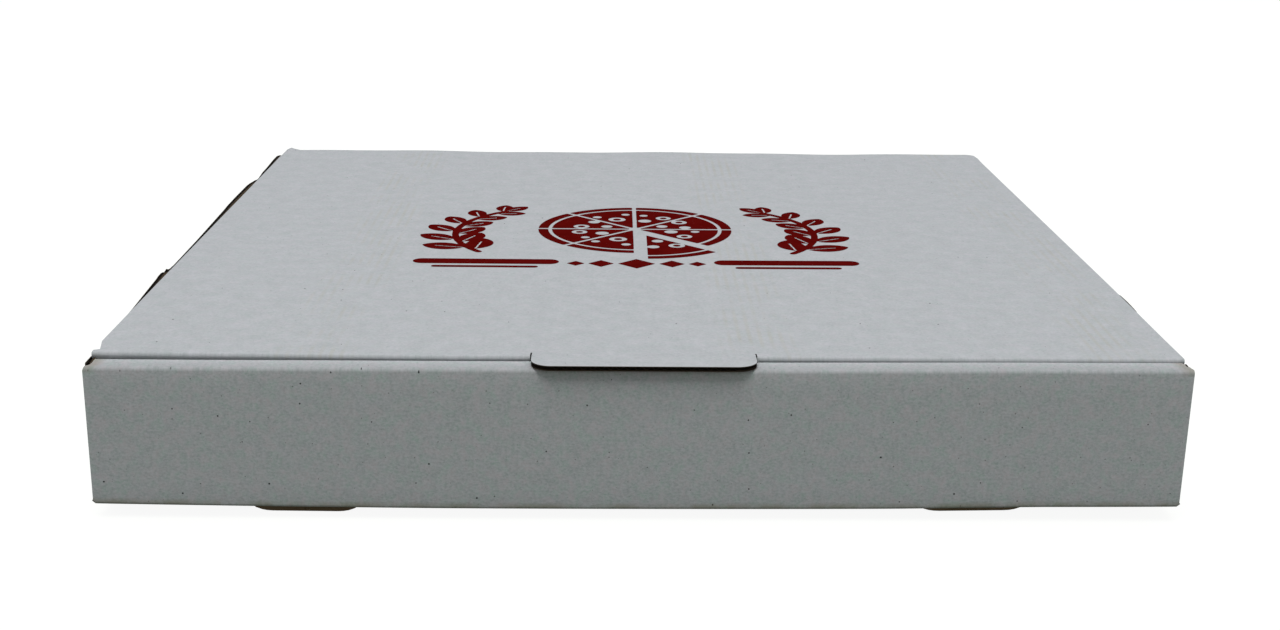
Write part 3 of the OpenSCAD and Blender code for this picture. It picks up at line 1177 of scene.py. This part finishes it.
class Nodes:
    """A material's shader nodes, with short ways to add and link them."""

    def __init__(self, name):
        self.material = bpy.data.materials.new(name)
        self.material.use_nodes = True
        self.tree = self.material.node_tree
        self.shader = self.tree.nodes["Principled BSDF"]

    def feed(self, node, values):
        """Links or sets inputs of a node, by their names or numbers."""
        for key, value in values.items():
            if isinstance(value, bpy.types.NodeSocket):
                self.tree.links.new(value, node.inputs[key])
            else:
                node.inputs[key].default_value = value

    def add(self, kind, values, **settings):
        node = self.tree.nodes.new(kind)
        for key, value in settings.items():
            setattr(node, key, value)
        self.feed(node, values)
        return node.outputs

    def surface(self, colour, rough, specular, normal):
        """Sets how the surface looks, and gives the material."""
        values = {"Base Color": colour, "Roughness": rough, "Specular IOR Level": specular, "Normal": normal}
        self.feed(self.shader, values)
        return self.material

    def math(self, operation, a, b=0.0):
        return self.add("ShaderNodeMath", {0: a, 1: b}, operation=operation)[0]

    def times(self, a, b):
        return self.math("MULTIPLY", a, b)

    def ramp(self, value, low, high, first=0.0, last=1.0):
        """Goes from a first result at low to a last one at high."""
        values = {"Value": value, "From Min": low, "From Max": high, "To Min": first, "To Max": last}
        return self.add("ShaderNodeMapRange", values, clamp=True)[0]

    def mix(self, share, a, b):
        return self.add("ShaderNodeMix", {0: share, 6: a, 7: b}, data_type="RGBA")[2]

    def layer(self, colour, share, strength, over):
        """Lays a colour over another one, where there is a share of it, at a strength."""
        return self.mix(self.times(share, strength), colour, over)

    def bump(self, height, strength, distance, **normal):
        values = {"Height": height, "Strength": strength, "Distance": distance * MM, **normal}
        return self.add("ShaderNodeBump", values)[0]

    def uv(self):
        """The place on the flat blank in metres."""
        return self.add("ShaderNodeUVMap", {}, uv_map="blank")[0]

    def blank(self, across, along, move=(0.0, 0.0, 0.0), flat=1.0):
        """The place on the flat blank, times a number each way, and moved."""
        values = {0: self.uv(), "Scale": (across, along, flat), "Location": move}
        return self.add("ShaderNodeMapping", values)[0]

    def blank_place(self):
        """The places across the flat blank and along it."""
        return self.add("ShaderNodeSeparateXYZ", {0: self.uv()})[:2]

    def patches(self, size, window, detail, rough, stretch=(1.0, 1.0), shift=0.0):
        """Patches of about a size: none where the noise is below a window, and full above it."""
        across, along = (way / (size * MM) for way in stretch)
        place = self.blank(across, along, [shift * way for way in NOISE_WAY])
        values = {"Vector": place, "Scale": 1.0, "Detail": detail, "Roughness": rough}
        return self.ramp(self.add("ShaderNodeTexNoise", values, noise_dimensions="3D")[0], *window)

    def specks(self, cell, size, share, scale=1.0, shift=0.0):
        """Small round specks: at most one in a cell, in that share of the cells."""
        cells = 1.0 / (cell * MM)
        values = {"Vector": self.blank(cells, cells, [shift * way for way in SPECK_WAY]), "Scale": 1.0}
        spots = self.add("ShaderNodeTexVoronoi", values, voronoi_dimensions="2D", feature="F1")
        chance = self.add("ShaderNodeSeparateColor", {0: spots["Color"]})
        reach = self.ramp(chance[0], 0.0, 1.0, SPECK_LEAST * size / cell, size / cell)
        inside = self.math("LESS_THAN", spots["Distance"], reach)
        return self.times(inside, self.math("LESS_THAN", chance[1], self.times(scale, share)))

    def flute_wave(self):
        place = self.blank(1.0 / (FLUTE_PITCH * MM) / WAVES_IN_UNIT, 0.0, flat=0.0)
        values = {"Vector": place, "Scale": 1.0, "Distortion": 0.0}
        settings = {"wave_type": "BANDS", "bands_direction": "X", "wave_profile": "SIN"}
        return self.add("ShaderNodeTexWave", values, **settings)["Fac"]

    def on_lid(self):
        return self.math("GREATER_THAN", self.blank_place()[1], LID_START * MM)

    def speck_share(self):
        """One on the walls and the base, and less on the lid, whose board was cleaner."""
        return self.math("SUBTRACT", 1.0, self.times(self.on_lid(), LID_CLEANER))

    def foot_shade_line(self):
        """One along the fold at the front wall's foot, where a line of shade is painted."""
        fold = (BASE_Y + FOOT_SHIFT + FOOT_R * math.pi / 4) * MM
        away = self.math("ABSOLUTE", self.math("ADD", self.blank_place()[1], fold))
        return self.ramp(away, FOOT_SHADE_BAND[0] * MM, FOOT_SHADE_BAND[1] * MM)

    def roller_tracks(self):
        """Faint lines along the flutes, where three feed wheels ran over the lid."""
        across = self.blank_place()[0]
        tracks = 0.0
        for middle in ROLLER_TRACKS:
            away = self.math("ABSOLUTE", self.math("SUBTRACT", across, middle * MM))
            tracks = self.math("ADD", tracks, self.ramp(away, ROLLER_HALF_W * MM, ROLLER_CORE_HALF_W * MM))
        patchy = self.patches(22.0, (0.42, 0.62), detail=3.0, rough=0.6, shift=41.0)
        marks = self.times(self.ramp(self.flute_wave(), 0.45, 0.95), patchy)
        return self.times(marks, self.times(tracks, self.on_lid()))

    def strip_rows(self):
        """The place along the blank, and where the roll's brow starts, its strip starts and that ends."""
        return [self.blank_place()[1]] + [-(BASE_Y + mark) * MM for mark in front_path().marks[2:5]]

    def strip_painted_shade(self):
        """Painted shade on the strip on the front roll: none at its back, and darker to its front."""
        along, brow, front, back = self.strip_rows()
        return self.times(self.ramp(along, back, front), self.ramp(along, brow, front))

    def strip_corners(self):
        """One on the strip's two ends, where the white layer has gone."""
        along, brow, front, back = self.strip_rows()
        out = self.math("ABSOLUTE", self.blank_place()[0])
        before = self.ramp(along, brow + WORN_FADE * MM, front)
        after = self.ramp(along, back - WORN_FADE * MM, back)
        return self.times(self.ramp(out, *(x * MM for x in WORN_END)), self.times(before, after))


def white_liner():
    """Bleached liner: cloudy, with fibres and specks, and with painted shade along the front's folds."""
    nodes = Nodes("white_liner")
    clouds = nodes.patches(7.0, (0.34, 0.66), detail=4.0, rough=0.65)
    grain = nodes.patches(1.8, (0.34, 0.66), detail=3.0, rough=0.75, stretch=(1.0, 0.8), shift=3.0)
    fibre = nodes.patches(0.7, (0.32, 0.68), detail=2.0, rough=0.7, stretch=(0.7, 1.0), shift=7.0)
    grey = nodes.patches(9.0, (0.42, 0.58), detail=4.0, rough=0.65, stretch=(1.0, 1.2), shift=13.0)
    green = nodes.patches(4.2, (0.42, 0.6), detail=2.0, rough=0.5, shift=17.0)
    pink = nodes.patches(3.8, (0.44, 0.62), detail=2.0, rough=0.5, shift=23.0)
    share = nodes.speck_share()
    walls = nodes.ramp(share, 0.3, 1.0)
    tint = nodes.math("ADD", nodes.times(walls, 0.7), 0.2)
    strength = nodes.math("ADD", nodes.times(walls, 0.3), 0.45)
    foot_shade = nodes.times(nodes.foot_shade_line(), nodes.patches(9.0, (0.3, 0.6), detail=3.0, rough=0.6, shift=31.0))
    colour = nodes.mix(clouds, srgb(189, 193, 194), srgb(207, 208, 211))
    layers = (
        (grey, nodes.times(walls, 0.9), srgb(182, 191, 188)),
        (green, tint, srgb(185, 205, 195)),
        (pink, tint, srgb(210, 203, 205)),
        (grain, strength, srgb(177, 186, 184)),
        (fibre, strength, srgb(220, 221, 223)),
        (nodes.specks(cell=4.0, size=0.16, share=0.4, scale=share, shift=1.7), 0.4, srgb(118, 114, 110)),
        (nodes.specks(cell=7.0, size=0.19, share=0.55, scale=share, shift=5.3), 0.75, srgb(84, 80, 76)),
        (nodes.specks(cell=12.0, size=0.29, share=0.6, scale=share), 1.0, srgb(12, 11, 10)),
        # painted shade: a darker olive line along the front wall's foot fold
        (foot_shade, 0.55, srgb(150, 146, 118)),
        (nodes.roller_tracks(), 0.22, srgb(190, 186, 160)),
        # painted shade: the roll's strip darkened towards its front
        (nodes.strip_painted_shade(), 0.4, srgb(150, 150, 151)),
        (nodes.strip_corners(), 0.5, srgb(160, 148, 128)),
    )
    for layer_share, layer_strength, over in layers:
        colour = nodes.layer(colour, layer_share, layer_strength, over)
    paper = nodes.bump(fibre, strength=0.25, distance=0.05)
    waves = nodes.bump(nodes.flute_wave(), strength=0.1, distance=0.05, Normal=paper)
    rough = nodes.ramp(grain, 0.0, 1.0, first=0.7, last=0.84)
    return nodes.surface(colour, rough, specular=0.2, normal=waves)


def kraft_liner():
    """Brown liner with long fibres and dark specks."""
    nodes = Nodes("kraft_liner")
    clouds = nodes.patches(18.0, (0.3, 0.7), detail=5.0, rough=0.6, shift=11.0)
    fibre = nodes.patches(1.1, (0.25, 0.75), detail=4.0, rough=0.65, stretch=(0.3, 1.0), shift=5.0)
    colour = nodes.mix(clouds, srgb(150, 127, 97), srgb(167, 143, 111))
    colour = nodes.layer(colour, fibre, 0.4, srgb(132, 110, 82))
    colour = nodes.layer(colour, nodes.specks(cell=7.0, size=0.35, share=0.7), 0.5, srgb(86, 68, 48))
    paper = nodes.bump(fibre, strength=0.3, distance=0.05)
    waves = nodes.bump(nodes.flute_wave(), strength=0.35, distance=0.08, Normal=paper)
    rough = nodes.ramp(fibre, 0.0, 1.0, first=0.78, last=0.9)
    return nodes.surface(colour, rough, specular=0.25, normal=waves)


def cut_edge():
    """The hollow between the liners: brown fluting, painted nearly black to stand for the shade in the
    hollow.
    """
    nodes = Nodes("cut_edge")
    fibre = nodes.patches(0.8, (0.3, 0.7), detail=4.0, rough=0.7, shift=2.0)
    # painted shade: the fluting's brown darkened nearly to black
    colour = nodes.mix(fibre, srgb(25, 20, 15), srgb(46, 36, 26))
    normal = nodes.bump(fibre, strength=0.5, distance=0.08)
    return nodes.surface(colour, rough=0.92, specular=0.15, normal=normal)


def liner_lip(name, dark, light):
    """The cut through a liner, in its own tan painted darker to stand for the shade on the cut edges."""
    nodes = Nodes(name)
    fibre = nodes.patches(0.6, (0.3, 0.7), detail=4.0, rough=0.7, shift=4.0)
    normal = nodes.bump(fibre, strength=0.4, distance=0.05)
    return nodes.surface(nodes.mix(fibre, dark, light), rough=0.9, specular=0.2, normal=normal)


def red_ink():
    """Flexo ink on the liner, a little thin in places and with pinholes."""
    nodes = Nodes("red_ink")
    thin = nodes.patches(5.0, (0.35, 0.75), detail=4.0, rough=0.6, shift=9.0)
    grain = nodes.patches(0.7, (0.3, 0.7), detail=3.0, rough=0.7, shift=1.0)
    colour = nodes.mix(thin, srgb(95, 11, 9), srgb(108, 16, 14))
    colour = nodes.layer(colour, grain, 0.35, srgb(83, 8, 6))
    colour = nodes.layer(colour, nodes.specks(cell=2.6, size=0.16, share=0.25), 0.5, srgb(150, 84, 82))
    rough = nodes.ramp(grain, 0.0, 1.0, first=0.55, last=0.7)
    normal = nodes.bump(grain, strength=0.2, distance=0.04)
    return nodes.surface(colour, rough, specular=0.0, normal=normal)


# Stage. The camera is fitted to the box's corners in the photograph

PHOTO_W = 1280.0
FOCAL_PX = 1718.9
SENSOR_W = 36.0
CAMERA_UP = 16.32
CAMERA_ROUND = -0.98
CAMERA_ROLL = 0.63
CAMERA_AIM = (2.19, 0.0, 11.17)
CAMERA_AWAY = 662.2
SKY_COLOUR = (0.94, 0.955, 1.0, 1.0)
SKY_LIGHT = 0.34
FLOOR_HALF_W = 6.0
FLOOR_COLOUR = (0.16, 0.175, 0.145, 1)
FLOOR_GLOW = 0.92
PURE_WHITE = (1, 1, 1, 1)
LAMP_AIM = (0, 0, 0.03)
# Lamps: name, place, width and depth in metres, watts and colour
LAMPS = (
    ("above", (0.0, 0.8, 1.4), (1.6, 1.2), 7.2, (0.965, 0.93, 1.0)),
    ("front", (-0.05, -0.9, 1.9), (1.4, 1.0), 15.6, (0.985, 1.0, 0.99)),
)


def camera():
    data = bpy.data.cameras.new("camera")
    data.sensor_fit = "HORIZONTAL"
    data.sensor_width = SENSOR_W
    data.lens = SENSOR_W * FOCAL_PX / PHOTO_W
    data.clip_start = 0.01
    data.clip_end = 20.0
    turn = Matrix.Identity(4)
    for degrees, axis in ((CAMERA_ROUND, "Z"), (90 - CAMERA_UP, "X"), (CAMERA_ROLL, "Z")):
        turn = turn @ Matrix.Rotation(math.radians(degrees), 4, axis)
    back = turn.col[2].to_3d()
    turn.translation = (Vector(CAMERA_AIM) + back * CAMERA_AWAY) * MM
    piece = in_scene("camera", data)
    piece.matrix_world = turn
    bpy.context.scene.camera = piece


def lamp(name, place, size, watts, colour):
    data = bpy.data.lights.new(name, "AREA")
    data.shape = "RECTANGLE"
    data.size = size[0]
    data.size_y = size[1]
    data.energy = watts
    data.color = colour
    piece = in_scene(name, data)
    piece.location = place
    piece.rotation_euler = (Vector(LAMP_AIM) - Vector(place)).to_track_quat("-Z", "Y").to_euler()


def glowing(tree, kind, colour, strength):
    node = tree.nodes.new(kind)
    node.inputs["Color"].default_value = colour
    node.inputs["Strength"].default_value = strength
    return node


def lit_and_seen(tree, lit, seen, output):
    """Light meets one shader, and the camera sees another."""
    path = tree.nodes.new("ShaderNodeLightPath")
    mix = tree.nodes.new("ShaderNodeMixShader")
    tree.links.new(path.outputs["Is Camera Ray"], mix.inputs[0])
    tree.links.new(lit.outputs[0], mix.inputs[1])
    tree.links.new(seen.outputs[0], mix.inputs[2])
    tree.links.new(mix.outputs[0], output.inputs[0])


def world():
    studio = bpy.data.worlds.new("studio")
    bpy.context.scene.world = studio
    studio.use_nodes = True
    tree = studio.node_tree
    tree.nodes.clear()
    sky = glowing(tree, "ShaderNodeBackground", SKY_COLOUR, SKY_LIGHT)
    white = glowing(tree, "ShaderNodeBackground", PURE_WHITE, 1.0)
    lit_and_seen(tree, sky, white, tree.nodes.new("ShaderNodeOutputWorld"))


def floor(z):
    """A white ground that keeps the box's shadow."""
    mesh = bpy.data.meshes.new("floor")
    corners = ((-1, -1), (1, -1), (1, 1), (-1, 1))
    mesh.from_pydata([(x * FLOOR_HALF_W, y * FLOOR_HALF_W, z) for x, y in corners], [], [(0, 1, 2, 3)])
    material = bpy.data.materials.new("floor")
    material.use_nodes = True
    tree = material.node_tree
    tree.nodes.clear()
    diffuse = tree.nodes.new("ShaderNodeBsdfDiffuse")
    diffuse.inputs["Color"].default_value = FLOOR_COLOUR
    glow = glowing(tree, "ShaderNodeEmission", PURE_WHITE, FLOOR_GLOW)
    both = tree.nodes.new("ShaderNodeAddShader")
    tree.links.new(diffuse.outputs[0], both.inputs[0])
    tree.links.new(glow.outputs[0], both.inputs[1])
    lit_and_seen(tree, diffuse, both, tree.nodes.new("ShaderNodeOutputMaterial"))
    mesh.materials.append(material)
    piece = in_scene("floor", mesh)
    piece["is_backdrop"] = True


def build():
    bpy.context.scene.view_settings.view_transform = "Standard"
    camera()
    materials = [
        white_liner(), kraft_liner(), cut_edge(),
        # the lips' colours are the cut liners' tan, painted darker as shade
        liner_lip("white_lip", srgb(60, 52, 42), srgb(86, 76, 62)),
        liner_lip("kraft_lip", srgb(44, 35, 25), srgb(68, 55, 40)),
    ]
    tray = Board(tray_sheet(), tray_warp).piece("tray_board", materials)
    lid = Board(lid_sheet(), lid_warp).piece("lid_board", materials)
    crease = Board(crease_sheet(), lid_warp).piece("hinge_crease", materials)
    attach(tray, "tray")
    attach(lid, "lid")
    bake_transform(crease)
    art = print_piece(red_ink())
    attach(art, "lid")
    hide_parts("tray")
    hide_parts("lid")
    world()
    for row in LAMPS:
        lamp(*row)
    low = min(corner[2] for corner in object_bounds())
    floor(low)


build()
